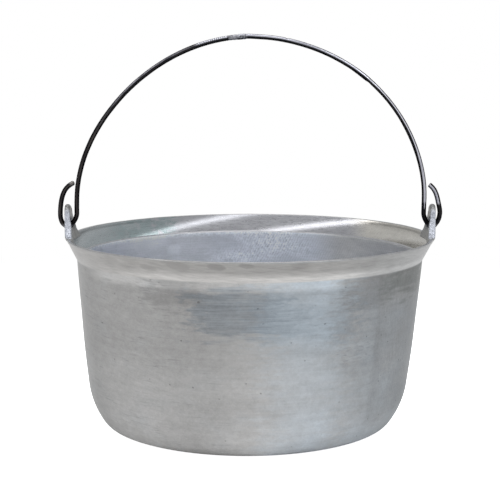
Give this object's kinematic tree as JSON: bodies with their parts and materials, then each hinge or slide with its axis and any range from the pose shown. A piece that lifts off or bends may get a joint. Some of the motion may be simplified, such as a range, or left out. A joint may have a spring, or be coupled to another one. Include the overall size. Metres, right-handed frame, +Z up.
{
  "type": "brew kettle",
  "caption": "Open round aluminium kettle with a flared collar, ears standing on the rim and a hooked wire bail that folds down over the mouth.",
  "frame": {"origin": "centre of the base underside, where the kettle stands", "axes": "+Z up through the mouth; the ears stand on -X and +X; the bail is upright in the XZ plane and swings towards -Y and +Y"},
  "size_m": [0.3576, 0.3396, 0.3644],
  "materials": {
    "pot_aluminium": "hand-brushed outside, lathe-turned inside",
    "ear_aluminium": "rough as-cast edge",
    "bail_steel": "black drawn wire with worn highlights",
    "weld_steel": "rough grey weld"
  },
  "bodies": {
    "kettle": {"kettle_body": "pot_aluminium", "lug_left": "ear_aluminium", "lug_right": "ear_aluminium"},
    "bail": {"bail_wire_left": "bail_steel", "bail_wire_right": "bail_steel", "bail_weld": "weld_steel"}
  },
  "joints": [
    {"name": "bail_swing", "type": "hinge", "parent": "kettle", "child": "bail", "pos_m": [0, 0, 0.1867], "axis": [1, 0, 0], "range_deg": [-92.2, 92.2]}
  ]
}
